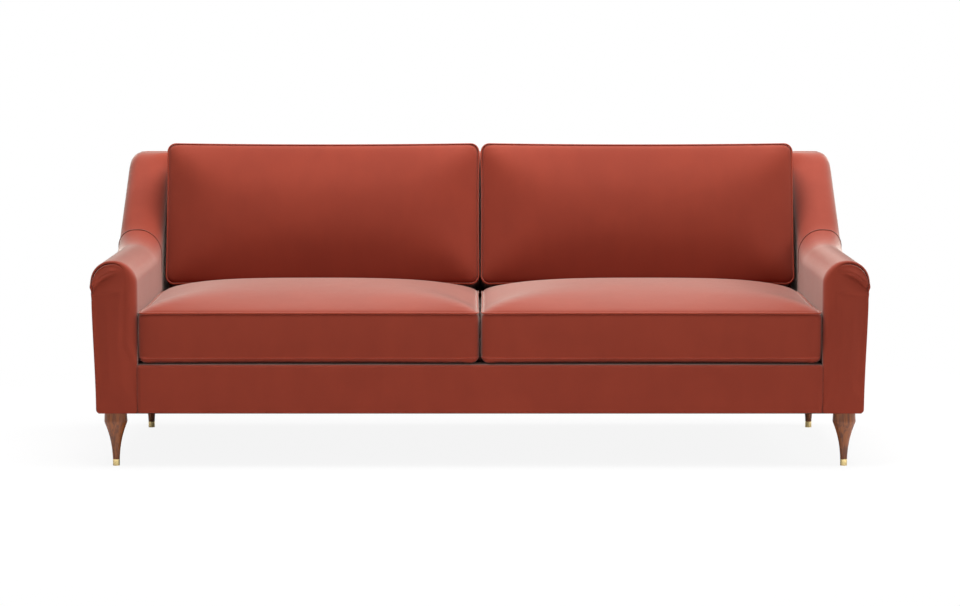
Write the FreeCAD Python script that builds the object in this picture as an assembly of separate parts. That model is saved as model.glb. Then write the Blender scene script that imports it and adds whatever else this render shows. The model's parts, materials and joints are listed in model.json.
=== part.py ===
import FreeCAD, Part
import math
import os

# Two-seat upholstered sofa with swooping rolled arms, loose box cushions and turned legs.
# Millimetres. Seen from the front, +X is to the right; the front faces -Y and the floor is at Z = 0.

# Overall sizes
WIDTH = 2184.0
DEPTH = 950.0
BACK_ABOVE_DECK = 571.0
ARM_ABOVE_DECK = 293.0

# Legs, ferrules and stud plates
LEG_TOP = 152.0
LEG_TOP_RADIUS = 31.5
LEG_SHOULDER_RADIUS = 32.7
LEG_SHOULDER_HEIGHT = 125.8
LEG_SHOULDER_ROUND = 14.0
LEG_NECK_RADIUS = 12.9
LEG_NECK_HEIGHT = 75.7
LEG_NECK_ROUND = 275.0
LEG_TOE_RADIUS = 9.7
LEG_FROM_SIDE = 59.4
LEG_FROM_FRONT = 50.0
LEG_FROM_REAR = 95.0
FERRULE_HEIGHT = 18.2
FERRULE_WALL = 1.1
LEG_PLATE = 2.5
LEG_PLATE_SIDE = 56.0
LEG_STUD_RADIUS = 4.0
LEG_STUD_REACH = 30.0
LEG_BLOCK_HEIGHT = 80.0
LEG_BLOCK_LENGTH = 90.0

# Timber
RAIL_HEIGHT = 115.5
RAIL_THICKNESS = 32.0
BOARD = 15.0
FRONT_BOARD = 18.0
RIB_THICKNESS = 18.0
TOP_RAIL_THICKNESS = 22.0
REAR_RAIL_THICKNESS = 20.0
REAR_RAIL_HEIGHT = 70.0
STRETCHER_THICKNESS = 28.0
STRETCHER_HEIGHT = 60.0
STRETCHER_DROP = 45.0
STRETCHER_OFFSET = 320.0
CORNER_BLOCK_SIDE = 90.0
CORNER_BLOCK_DROP = 15.0
CORNER_BLOCK_HEIGHT = 80.0
ARM_BOLT_RADIUS = 4.0
ARM_BOLT_HEAD_ACROSS = 13.0
ARM_BOLT_HEAD = 5.0
ARM_BOLT_FROM_FRONT = 220.0
ARM_BOLT_FROM_REAR = 345.0
ARM_BOLT_HEIGHT = 55.0
ARM_SPACER_HEIGHT = 60.0

# Suspension and padding
STRAP_THICKNESS = 2.0
STRAP_WIDTH = 70.0
SEAT_STRAPS = 13
CROSS_STRAPS = 4
BACK_STRAPS = 11
DECK_PAD = 18.0
CLOTH = 2.0
PADDING = 18.0
DUST_CLOTH = 1.0
REAR_PANEL = 4.0
CAVITY_DROP = 45.0

# Arm roll and swoop
ARM_WIDTH = 127.5
ARM_OUTER_RADIUS = 58.0
ARM_INNER_RADIUS = 66.0
WING_OUTER_RADIUS = 35.0
WING_INNER_RADIUS = 75.0
CORNER_INNER_RADIUS = 10.0
ARM_CLIMB = 15.0
SWOOP_ANGLE = 41.5
SWOOP_RADIUS = 240.0
WING_RADIUS = 90.0
WING_TOP = 87.0
FRONT_EDGE = 5.0
ARC_BANDS = 4

# Back
BACK_FACE_FROM_REAR = 197.0
BACK_RAKE = 12.0
BACK_TOP_RADIUS = 35.0

# Loose cushions
CUSHION_GAP = 2.0
CUSHION_CORNER = 22.0
CORNER_STEPS = 3
DRAWN_IN_SLOPE = 0.008
SEAT_BOXING = 125.0
SEAT_CROWN = 58.0
SEAT_CROWN_REACH = 240.0
SEAT_UNDER_CROWN = 20.0
SEAT_UNDER_REACH = 110.0
SEAT_BULGE = 5.0
BACK_HEIGHT = 437.0
BACK_BOXING = 165.0
BACK_CROWN = 45.0
BACK_CROWN_REACH = 150.0
BACK_REAR_CROWN = 20.0
BACK_REAR_REACH = 90.0
BACK_SIDE_ROOM = 9.0
CORE_MARGIN = 45.0
CORE_SKIN = 6.0

# Zips
ZIP_GROOVE_WIDTH = 28.0
ZIP_GROOVE_DEPTH = 7.0
ZIP_END_MARGIN = 40.0
ZIP_TAPE = 1.2
ZIP_SLIT = 3.0
SLIDER_LENGTH = 30.0
SLIDER_WIDTH = 12.0
SLIDER_HEIGHT = 4.5

# Clearances
FIT = 0.3
BOLT_FIT = 0.3
DROP_FIT = 1.0
FLATNESS = 0.01

# Levels and planes that follow from the sizes above
half_width = WIDTH / 2
rear = DEPTH / 2
front = SEAT_BULGE - DEPTH / 2
panel_front = rear - REAR_PANEL
arm_inner = half_width - ARM_WIDTH
seat_half = arm_inner - FIT
frame_bottom = LEG_TOP + LEG_PLATE
rail_top = frame_bottom + RAIL_HEIGHT
strap_top = rail_top + STRAP_THICKNESS
pad_top = strap_top + DECK_PAD
deck_top = pad_top + CLOTH
arm_top = deck_top + ARM_ABOVE_DECK
frame_top = deck_top + BACK_ABOVE_DECK
pad_depth = CLOTH + FIT
cavity_inset = pad_depth + PADDING
timber_inset = cavity_inset + FIT
rail_front = front + timber_inset
rail_back = rail_front + RAIL_THICKNESS
board_inner = arm_inner + timber_inset
board_outer = half_width - timber_inset
block_inner = board_inner + BOARD
block_outer = board_outer - BOARD
rake = math.radians(BACK_RAKE)
leg_x = half_width - LEG_FROM_SIDE
leg_ys = (front + LEG_FROM_FRONT, rear - LEG_FROM_REAR)
arm_bolt_ys = (front + ARM_BOLT_FROM_FRONT, rear - ARM_BOLT_FROM_REAR)
arm_bolt_z = frame_bottom + ARM_BOLT_HEIGHT
X_AXIS = FreeCAD.Vector(1, 0, 0)
Z_AXIS = FreeCAD.Vector(0, 0, 1)
ORIGIN = FreeCAD.Vector(0, 0, 0)


def in_xy(z):
    return lambda a, b: FreeCAD.Vector(a, b, z)


def in_xz(y):
    return lambda a, b: FreeCAD.Vector(a, y, b)


def in_yz(x):
    return lambda a, b: FreeCAD.Vector(x, a, b)


def fillet_points(before, corner, after, radius):
    """Start, middle and end of the arc that rounds a corner."""
    to_before = (before - corner).normalize()
    to_after = (after - corner).normalize()
    half = to_before.getAngle(to_after) / 2
    tangent = radius / math.tan(half)
    bisector = (to_before + to_after).normalize()
    middle = corner + bisector * (radius / math.sin(half) - radius)
    return corner + to_before * tangent, middle, corner + to_after * tangent


def outline(corners, place):
    """Closed wire through (a, b, radius) corners, with an arc where the radius isn't zero."""
    points = [place(a, b) for a, b, radius in corners]
    count = len(points)
    arcs = []
    for i, (a, b, radius) in enumerate(corners):
        if radius > 0:
            arcs.append(fillet_points(points[i - 1], points[i], points[(i + 1) % count], radius))
        else:
            arcs.append((points[i], None, points[i]))
    edges = []
    for i, (start, middle, end) in enumerate(arcs):
        if middle is not None:
            edges.append(Part.Arc(start, middle, end).toShape())
        edges.append(Part.LineSegment(end, arcs[(i + 1) % count][0]).toShape())
    return Part.Wire(edges)


def plate(corners, place, direction):
    """An outline pushed along a direction into a solid."""
    return Part.Face(outline(corners, place)).extrude(direction)


def box(x0, x1, y0, y1, z0, z1):
    return Part.makeBox(x1 - x0, y1 - y0, z1 - z0, FreeCAD.Vector(x0, y0, z0))


def turned(corners):
    """Solid of revolution about Z, its outline given by (distance from the axis, z, radius) corners."""
    return Part.Face(outline(corners, in_xz(0))).revolve(ORIGIN, Z_AXIS, 360)


def flat_faced(solid):
    """The same solid, with its flat faces as true planes and joined where they lie in one plane."""
    faces = []
    for face in solid.Faces:
        plane = face.findPlane(FLATNESS)
        faces.append(Part.Face(plane, face.OuterWire) if plane else face)
    return Part.Solid(Part.Shell(faces)).removeSplitter()


def mirrored(shape):
    return shape.mirror(ORIGIN, X_AXIS)


def both_sides(name, right):
    """A right-hand piece and its mirror image, each under its own name."""
    return {"right_" + name: right, "left_" + name: mirrored(right)}


# The arm's crest: nearly level, a hollow swoop, a straight climb, and round into the wing's top
swoop = math.radians(SWOOP_ANGLE)
crest_head = (rear - WING_TOP, frame_top)
crest_foot = (crest_head[0] - (frame_top - arm_top - ARM_CLIMB) / math.tan(swoop), arm_top + ARM_CLIMB)
arm_pitch = math.atan2(ARM_CLIMB, crest_foot[0] - front)


def crest_arcs():
    """Start and end in Y, and centre, of the swoop's hollow arc and the wing's round arc."""
    reach = SWOOP_RADIUS * math.tan((swoop - arm_pitch) / 2)
    foot_start = crest_foot[0] - reach * math.cos(arm_pitch)
    foot_end = crest_foot[0] + reach * math.cos(swoop)
    foot_centre = (foot_start - SWOOP_RADIUS * math.sin(arm_pitch),
                   crest_foot[1] - reach * math.sin(arm_pitch) + SWOOP_RADIUS * math.cos(arm_pitch))
    reach = WING_RADIUS * math.tan(swoop / 2)
    head_start = crest_head[0] - reach * math.cos(swoop)
    head_end = crest_head[0] + reach
    head_centre = (head_end, frame_top - WING_RADIUS)
    return (foot_start, foot_end, foot_centre), (head_start, head_end, head_centre)


def crest(y):
    """Height of the arm's highest line at a depth."""
    (foot_start, foot_end, foot), (head_start, head_end, head) = crest_arcs()
    if y < foot_start:
        return arm_top + (y - front) * math.tan(arm_pitch)
    if y < foot_end:
        return foot[1] - math.sqrt(SWOOP_RADIUS ** 2 - (y - foot[0]) ** 2)
    if y < head_start:
        return crest_foot[1] + (y - crest_foot[0]) * math.tan(swoop)
    if y < head_end:
        return head[1] + math.sqrt(WING_RADIUS ** 2 - (y - head[0]) ** 2)
    return frame_top


def between(y, start, end, low, high):
    share = min(max((y - start) / (end - start), 0), 1)
    return low + (high - low) * share


def roll_radii(y):
    """Outer and inner radius of the arm's top at a depth."""
    (foot_start, foot_end, foot), (head_start, head_end, head) = crest_arcs()
    outer = between(y, foot_start, foot_end, ARM_OUTER_RADIUS, WING_OUTER_RADIUS)
    inner = between(y, foot_start, foot_end, ARM_INNER_RADIUS, WING_INNER_RADIUS)
    inner = between(y, head_start, head_end, inner, CORNER_INNER_RADIUS)
    return outer, inner


def arm_section(y, place_y, inset, bottom):
    """Section across the arm: upright sides and a rolled top."""
    outer, inner = roll_radii(y)
    top = crest(y) - inset
    corners = [(arm_inner + inset, bottom, 0), (arm_inner + inset, top, inner - inset),
               (half_width - inset, top, outer - inset), (half_width - inset, bottom, 0)]
    return outline(corners, in_xz(place_y))


def arm_stations():
    """Depths of the sections: close together only round the two arcs."""
    (foot_start, foot_end, foot), (head_start, head_end, head) = crest_arcs()
    stations = [front + FRONT_EDGE]
    for start, end in ((foot_start, foot_end), (head_start, head_end)):
        stations += [start + (end - start) * i / ARC_BANDS for i in range(ARC_BANDS + 1)]
    return stations


def arm_form(inset, start, end, bottom):
    """The arm's rolled form, drawn in by an inset, from a front plane to a rear plane."""
    edge_inset = inset + FRONT_EDGE * max(0, 1 - (start - front) / FRONT_EDGE)
    wires = [arm_section(front, start, edge_inset, bottom)]
    for y in arm_stations():
        if y > start:
            wires.append(arm_section(y, y, inset, bottom))
    wires.append(arm_section(rear, end, inset, bottom))
    return flat_faced(Part.makeLoft(wires, True, True))


def arm_profile(start, end, drop, bottom):
    """Side view of the arm under its crest, for boards that follow the swoop."""
    start_top = crest(start) - drop
    return [(start, bottom, 0), (start, start_top, 0), (crest_foot[0], crest_foot[1] - drop, SWOOP_RADIUS),
            (crest_head[0], crest_head[1] - drop, WING_RADIUS), (end, frame_top - drop, 0), (end, bottom, 0)]


def arm_bolt_holes():
    """Round holes for the arm bolts, in timber."""
    holes = []
    for y in arm_bolt_ys:
        base = FreeCAD.Vector(seat_half - 2 * RAIL_THICKNESS, y, arm_bolt_z)
        holes.append(Part.makeCylinder(ARM_BOLT_RADIUS + BOLT_FIT, 4 * RAIL_THICKNESS, base, X_AXIS))
    return Part.makeCompound(holes)


def arm_bolt_cuts():
    """Square cuts for the arm bolts, in cloth and padding."""
    half = ARM_BOLT_RADIUS + BOLT_FIT
    cuts = []
    for y in arm_bolt_ys:
        cuts.append(box(seat_half, board_inner, y - half, y + half, arm_bolt_z - half, arm_bolt_z + half))
    return Part.makeCompound(cuts)


def front_board_outline(grow):
    return outline([(board_inner - grow, frame_bottom - grow, 0),
                    (board_inner - grow, arm_top - timber_inset + grow, ARM_INNER_RADIUS - timber_inset + grow),
                    (board_outer + grow, arm_top - timber_inset + grow, ARM_OUTER_RADIUS - timber_inset + grow),
                    (board_outer + grow, frame_bottom - grow, 0)], in_xz(rail_front - grow))


def arm_nodes():
    """Cover, padding and timber of the right arm, and their mirror images."""
    board_start = rail_front + FRONT_BOARD
    board_top_drop = CAVITY_DROP + DROP_FIT
    holes = arm_bolt_holes()
    cuts = arm_bolt_cuts()
    cover = arm_form(0, front, panel_front, frame_bottom)
    cover = cover.cut(arm_form(CLOTH, front + CLOTH, rear + REAR_PANEL, 0)).cut(cuts)
    cavity = plate([(front, 0, 0)] + arm_profile(board_start - FIT, rear + REAR_PANEL, CAVITY_DROP, 0)[1:],
                   in_yz(board_inner - FIT), X_AXIS * (board_outer - board_inner + 2 * FIT))
    cavity = cavity.common(box(0, WIDTH, board_start - FIT, rear + REAR_PANEL, 0, 2 * frame_top))
    front_room = Part.Face(front_board_outline(FIT)).extrude(FreeCAD.Vector(0, FRONT_BOARD + 3 * FIT, 0))
    pad = arm_form(pad_depth, front + pad_depth, panel_front, frame_bottom)
    pad = pad.cut(cavity).cut(front_room).cut(cuts)
    inner = plate(arm_profile(board_start, panel_front, board_top_drop, frame_bottom),
                  in_yz(board_inner), X_AXIS * BOARD).cut(holes)
    outer = plate(arm_profile(board_start, panel_front, board_top_drop, frame_bottom),
                  in_yz(block_outer), X_AXIS * BOARD)
    face = Part.Face(front_board_outline(0)).extrude(FreeCAD.Vector(0, FRONT_BOARD, 0))
    blocks = []
    for y in leg_ys:
        start = max(y - LEG_BLOCK_LENGTH / 2, board_start)
        blocks.append(box(block_inner, block_outer, start, y + LEG_BLOCK_LENGTH / 2,
                          frame_bottom, frame_bottom + LEG_BLOCK_HEIGHT))
    for start in (board_start + LEG_BLOCK_LENGTH, panel_front - LEG_BLOCK_LENGTH):
        top = crest(start) - board_top_drop
        blocks.append(box(block_inner, block_outer, start, start + LEG_BLOCK_LENGTH,
                          top - ARM_SPACER_HEIGHT, top))
    nodes = {}
    nodes.update(both_sides("arm_cover", cover))
    nodes.update(both_sides("arm_padding", pad))
    nodes.update(both_sides("arm_inner_board", inner))
    nodes.update(both_sides("arm_outer_board", outer))
    nodes.update(both_sides("arm_front_board", face))
    nodes.update(both_sides("arm_blocks", Part.makeCompound(blocks)))
    return nodes


def back_face(z):
    """Depth of the raked inside back at a height."""
    return rear - BACK_FACE_FROM_REAR + (z - deck_top) * math.tan(rake)


def back_profile(inset, start, end, radius):
    """Side view of the upholstered back: raked face, rolled top, upright rear."""
    top = frame_top - inset
    return [(back_face(start) + inset, start, 0), (back_face(top) + inset, top, radius),
            (end, top, 0), (end, start, 0)]


def back_solid(inset, start, end, radius, half):
    return plate(back_profile(inset, start, end, radius), in_yz(-half), X_AXIS * (2 * half))


def back_nodes():
    """Inside back, its padding, the ribs, rails and straps, and the outside back."""
    beyond = rear + REAR_PANEL
    cover = back_solid(0, strap_top, panel_front, BACK_TOP_RADIUS, seat_half)
    cover = cover.cut(back_solid(CLOTH, 0, beyond, BACK_TOP_RADIUS - CLOTH, half_width))
    pad = back_solid(pad_depth, strap_top, panel_front, BACK_TOP_RADIUS - pad_depth, seat_half)
    pad = pad.cut(back_solid(cavity_inset, 0, beyond, 0, half_width))
    rib_inset = timber_inset + STRAP_THICKNESS
    rib_top = frame_top - timber_inset - TOP_RAIL_THICKNESS
    seat_rail_front = back_face(strap_top) + timber_inset
    seat_rail_back = seat_rail_front + RAIL_THICKNESS
    low_rail_front = panel_front - REAR_RAIL_THICKNESS
    low_rail_top = frame_bottom + REAR_RAIL_HEIGHT
    rib_outline = [(seat_rail_back, frame_bottom, 0), (seat_rail_back, strap_top, 0),
                   (back_face(strap_top) + rib_inset, strap_top, 0),
                   (back_face(rib_top) + rib_inset, rib_top, 0),
                   (panel_front, rib_top, 0), (panel_front, low_rail_top, 0),
                   (low_rail_front, low_rail_top, 0), (low_rail_front, frame_bottom, 0)]
    nodes = {"inside_back_cover": cover, "inside_back_padding": pad}
    for name, x in (("left_back_rib", -seat_half), ("centre_back_rib", -RIB_THICKNESS / 2),
                    ("right_back_rib", seat_half - RIB_THICKNESS)):
        nodes[name] = plate(rib_outline, in_yz(x), X_AXIS * RIB_THICKNESS)
    nodes["rear_seat_rail"] = box(-seat_half, seat_half, seat_rail_front, seat_rail_back,
                                  frame_bottom, rail_top)
    nodes["outside_back_rail"] = box(-seat_half, seat_half, low_rail_front, panel_front,
                                     frame_bottom, low_rail_top)
    rail_outline = [(back_face(rib_top) + rib_inset, rib_top, 0),
                    (back_face(frame_top - timber_inset) + rib_inset, frame_top - timber_inset, 0),
                    (panel_front, frame_top - timber_inset, 0), (panel_front, rib_top, 0)]
    nodes["back_top_rail"] = plate(rail_outline, in_yz(-seat_half), X_AXIS * (2 * seat_half))
    strap_outline = [(back_face(strap_top) + timber_inset, strap_top, 0),
                     (back_face(frame_top - timber_inset) + timber_inset, frame_top - timber_inset, 0),
                     (back_face(frame_top - timber_inset) + rib_inset, frame_top - timber_inset, 0),
                     (back_face(strap_top) + rib_inset, strap_top, 0)]
    straps = []
    for x in spread(BACK_STRAPS, seat_half):
        straps.append(plate(strap_outline, in_yz(x - STRAP_WIDTH / 2), X_AXIS * STRAP_WIDTH))
    nodes["back_webbing_straps"] = Part.makeCompound(straps)
    nodes["outside_back_panel"] = plate(
        [(-half_width, frame_bottom, 0), (-half_width, frame_top, WING_OUTER_RADIUS),
         (half_width, frame_top, WING_OUTER_RADIUS), (half_width, frame_bottom, 0)],
        in_xz(panel_front), FreeCAD.Vector(0, REAR_PANEL, 0))
    return nodes


def spread(count, half):
    """Centres of straps laid evenly across a width."""
    pitch = 2 * half / count
    return [pitch * (i + 0.5) - half for i in range(count)]


def seat_nodes():
    """Seat rails, stretchers, corner blocks, webbing, deck and front border."""
    rear_front = back_face(strap_top) + timber_inset
    rear_back = rear_front + RAIL_THICKNESS
    side_inner = seat_half - RAIL_THICKNESS
    cross_top = rail_top - STRAP_THICKNESS
    nodes = {"front_seat_rail": box(-seat_half, seat_half, rail_front, rail_back, frame_bottom, rail_top)}
    side = box(side_inner, seat_half, rail_back, rear_front, frame_bottom, cross_top).cut(arm_bolt_holes())
    nodes.update(both_sides("seat_rail", side))
    stretcher_top = rail_top - STRETCHER_DROP
    stretchers = []
    for x in (-STRETCHER_OFFSET, STRETCHER_OFFSET):
        stretchers.append(box(x - STRETCHER_THICKNESS / 2, x + STRETCHER_THICKNESS / 2,
                              rail_back, rear_front, stretcher_top - STRETCHER_HEIGHT, stretcher_top))
    nodes["seat_stretchers"] = Part.makeCompound(stretchers)
    blocks = []
    block_top = cross_top - CORNER_BLOCK_DROP
    for y, way in ((rail_back, 1), (rear_front, -1)):
        corners = [(side_inner, y, 0), (side_inner, y + way * CORNER_BLOCK_SIDE, 0),
                   (side_inner - CORNER_BLOCK_SIDE, y, 0)]
        block = plate(corners, in_xy(block_top - CORNER_BLOCK_HEIGHT), Z_AXIS * CORNER_BLOCK_HEIGHT)
        blocks += [block, mirrored(block)]
    nodes["seat_corner_blocks"] = Part.makeCompound(blocks)
    straps = []
    for x in spread(SEAT_STRAPS, seat_half):
        straps.append(box(x - STRAP_WIDTH / 2, x + STRAP_WIDTH / 2, rail_front, rear_back, rail_top, strap_top))
    nodes["seat_webbing_straps"] = Part.makeCompound(straps)
    cross = []
    span = (rear_front - rail_back) / 2
    for y in spread(CROSS_STRAPS, span):
        middle = rail_back + span + y
        cross.append(box(-seat_half, seat_half, middle - STRAP_WIDTH / 2, middle + STRAP_WIDTH / 2,
                         cross_top, rail_top))
    nodes["seat_cross_straps"] = Part.makeCompound(cross)
    deck_rear = back_face(strap_top) - FIT
    flange = rail_back + PADDING
    nodes["deck_padding"] = box(-seat_half, seat_half, rail_front, deck_rear, strap_top, pad_top)
    nodes["deck_cover"] = box(-seat_half, seat_half, flange, deck_rear, pad_top, deck_top)
    nodes["front_border_padding"] = box(-seat_half, seat_half, front + CLOTH, rail_front, frame_bottom, pad_top)
    nodes["front_border_cover"] = plate(
        [(front, frame_bottom, 0), (front, deck_top, CLOTH * 1.5), (flange, deck_top, 0), (flange, pad_top, 0),
         (front + CLOTH, pad_top, 0), (front + CLOTH, frame_bottom, 0)],
        in_yz(-seat_half), X_AXIS * (2 * seat_half))
    return nodes


def leg_nodes():
    """Turned legs in brass cups, the stud plates that hold them, and the dust cloth."""
    cup_radius = LEG_TOE_RADIUS - FERRULE_WALL
    tenon_radius = cup_radius - FIT
    tenon_foot = FERRULE_WALL + FIT
    leg = turned([(0, tenon_foot, 0), (tenon_radius, tenon_foot, 0),
                  (tenon_radius, FERRULE_HEIGHT, 0), (LEG_TOE_RADIUS, FERRULE_HEIGHT, 0),
                  (LEG_NECK_RADIUS, LEG_NECK_HEIGHT, LEG_NECK_ROUND),
                  (LEG_SHOULDER_RADIUS, LEG_SHOULDER_HEIGHT, LEG_SHOULDER_ROUND),
                  (LEG_TOP_RADIUS, LEG_TOP, 0), (0, LEG_TOP, 0)])
    leg = leg.cut(Part.makeCylinder(LEG_STUD_RADIUS + BOLT_FIT, LEG_STUD_REACH + FIT,
                                    Z_AXIS * (LEG_TOP - LEG_STUD_REACH - FIT)))
    cup = turned([(0, 0, 0), (LEG_TOE_RADIUS, 0, 0), (LEG_TOE_RADIUS, FERRULE_HEIGHT, 0),
                  (cup_radius, FERRULE_HEIGHT, 0), (cup_radius, FERRULE_WALL, 0), (0, FERRULE_WALL, 0)])
    nodes = {}
    legs = {"front_legs": [], "rear_legs": []}
    ferrules = []
    plates = []
    half_plate = LEG_PLATE_SIDE / 2
    cloth = box(FIT - half_width + CLOTH, half_width - CLOTH - FIT, front + CLOTH + FIT, panel_front - FIT,
                frame_bottom - DUST_CLOTH, frame_bottom)
    for x in (-leg_x, leg_x):
        for end, y in zip(("front", "rear"), leg_ys):
            place = FreeCAD.Vector(x, y, 0)
            legs[end + "_legs"].append(leg.translated(place))
            ferrules.append(cup.translated(place))
            stud = Part.makeCylinder(LEG_STUD_RADIUS, LEG_STUD_REACH, place + Z_AXIS * (LEG_TOP - LEG_STUD_REACH))
            plates.append(box(x - half_plate, x + half_plate, y - half_plate, y + half_plate,
                              LEG_TOP, frame_bottom).fuse(stud))
            cloth = cloth.cut(box(x - half_plate - FIT, x + half_plate + FIT, y - half_plate - FIT,
                                  y + half_plate + FIT, 0, frame_top))
    for name, pair in legs.items():
        nodes[name] = Part.makeCompound(pair)
    nodes["leg_ferrules"] = Part.makeCompound(ferrules)
    nodes["leg_stud_plates"] = Part.makeCompound(plates)
    nodes["dust_cloth"] = cloth
    return nodes


def arm_bolt_node():
    """Bolts that hold each arm to the seat: head inside the rail, nut inside the arm."""
    bolts = []
    head_x = seat_half - RAIL_THICKNESS
    reach = ARM_BOLT_HEAD_ACROSS / math.sqrt(3)
    for y in arm_bolt_ys:
        shank = Part.makeCylinder(ARM_BOLT_RADIUS, block_inner - head_x,
                                  FreeCAD.Vector(head_x, y, arm_bolt_z), X_AXIS)
        hexagon = [(y + reach * math.cos(math.radians(60 * i)),
                    arm_bolt_z + reach * math.sin(math.radians(60 * i)), 0) for i in range(6)]
        head = plate(hexagon, in_yz(head_x - ARM_BOLT_HEAD), X_AXIS * ARM_BOLT_HEAD)
        nut = plate(hexagon, in_yz(block_inner), X_AXIS * ARM_BOLT_HEAD)
        bolt = shank.fuse([head, nut]).removeSplitter()
        bolts += [bolt, mirrored(bolt)]
    return {"arm_bolts": Part.makeCompound(bolts)}


def cushion_section(x0, x1, y0, y1, corner, z):
    """Points round a rectangle with rounded corners, whose sides pull in between its corners."""
    sag_x = (x1 - x0 - 2 * corner) * DRAWN_IN_SLOPE / 2
    sag_y = (y1 - y0 - 2 * corner) * DRAWN_IN_SLOPE / 2
    middle_x = (x0 + x1) / 2
    middle_y = (y0 + y1) / 2
    middles = ((middle_x, y0 + sag_x), (x1 - sag_y, middle_y), (middle_x, y1 - sag_x), (x0 + sag_y, middle_y))
    centres = ((x1 - corner, y0 + corner), (x1 - corner, y1 - corner),
               (x0 + corner, y1 - corner), (x0 + corner, y0 + corner))
    points = []
    for quarter in range(4):
        points.append(FreeCAD.Vector(middles[quarter][0], middles[quarter][1], z))
        for step in range(CORNER_STEPS + 1):
            angle = math.radians(90 * (quarter - 1 + step / CORNER_STEPS))
            points.append(FreeCAD.Vector(centres[quarter][0] + corner * math.cos(angle),
                                         centres[quarter][1] + corner * math.sin(angle), z))
    return points


def stacked(sections):
    """Solid with flat faces between like sections, one above the other."""
    rings = [points + points[:1] for points in sections]
    faces = [Part.Face(Part.makePolygon(rings[0])), Part.Face(Part.makePolygon(rings[-1]))]
    for low, high in zip(rings, rings[1:]):
        for i in range(len(low) - 1):
            faces.append(Part.Face(Part.makePolygon([low[i], low[i + 1], high[i + 1], high[i], low[i]])))
    return Part.Solid(Part.makeShell(faces))


def cushion_form(width, length, boxing, top, under, bulge, slope):
    """Box cushion: crown above and below a boxed band. Its lower edge lies along X at y = 0.

    top and under are (height, reach) of the crowns. bulge swells the band's near side. With a
    slope, the far side of the top crown is a plane that falls to the far edge at that angle."""
    sections = []
    for turn in (-90, -45):
        angle = math.radians(turn)
        inset = under[1] * (1 - math.cos(angle))
        sections.append(cushion_section(inset, width - inset, inset, length - inset,
                                        CUSHION_CORNER + inset / 2, under[0] * math.sin(angle)))
    for z, swell in ((0, 0), (boxing / 2, bulge), (boxing, 0)):
        sections.append(cushion_section(0, width, -swell, length, CUSHION_CORNER, z))
    for turn in (18, 36, 54, 72, 90):
        angle = math.radians(turn)
        inset = top[1] * (1 - math.cos(angle))
        height = top[0] * math.sin(angle)
        far = length - inset
        if slope > 0:
            far = length - height / math.tan(slope)
        corner = CUSHION_CORNER + inset / 4
        sections.append(cushion_section(inset, width - inset, inset, far, corner, boxing + height))
    return stacked(sections)


def cushion_parts(width, length, boxing, form, zip_far):
    """Cover, foam core, zip tape and slider of one box cushion, in its own frame."""
    low = CORE_SKIN
    high = boxing - CORE_SKIN
    core = box(CORE_MARGIN, width - CORE_MARGIN, CORE_MARGIN, length - CORE_MARGIN, low, high)
    room = box(CORE_MARGIN - FIT, width - CORE_MARGIN + FIT, CORE_MARGIN - FIT, length - CORE_MARGIN + FIT,
               low - FIT, high + FIT)
    edge = length if zip_far else 0
    way = -1 if zip_far else 1

    def along(x0, x1, near, far, half):
        """Box in the zip's band: near and far count inwards from the cushion's edge."""
        ys = sorted((edge + way * near, edge + way * far))
        return box(x0, x1, ys[0], ys[1], boxing / 2 - half, boxing / 2 + half)

    start = ZIP_END_MARGIN
    end = width - ZIP_END_MARGIN
    groove = along(start, end, -CUSHION_CORNER, ZIP_GROOVE_DEPTH, ZIP_GROOVE_WIDTH / 2)
    slit = along(start + SLIDER_LENGTH, end - SLIDER_LENGTH, 0, CORE_MARGIN, ZIP_SLIT / 2)
    cover = form.cut(room).cut(groove).cut(slit)
    tape_face = ZIP_GROOVE_DEPTH - ZIP_TAPE
    tape = along(start + FIT, end - FIT, tape_face, ZIP_GROOVE_DEPTH, ZIP_GROOVE_WIDTH / 2 - FIT)
    slider_base = tape_face - FIT
    slider = along(start + 2 * FIT, start + 2 * FIT + SLIDER_LENGTH, slider_base - SLIDER_HEIGHT, slider_base,
                   SLIDER_WIDTH / 2)
    uprights = [e for e in slider.Edges if abs(e.tangentAt(e.FirstParameter).y) > 0.9]
    slider = slider.makeChamfer(SLIDER_WIDTH / 3, uprights)
    return {"cover": cover, "core": core, "zip_tape": tape, "zip_slider": slider}


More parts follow.
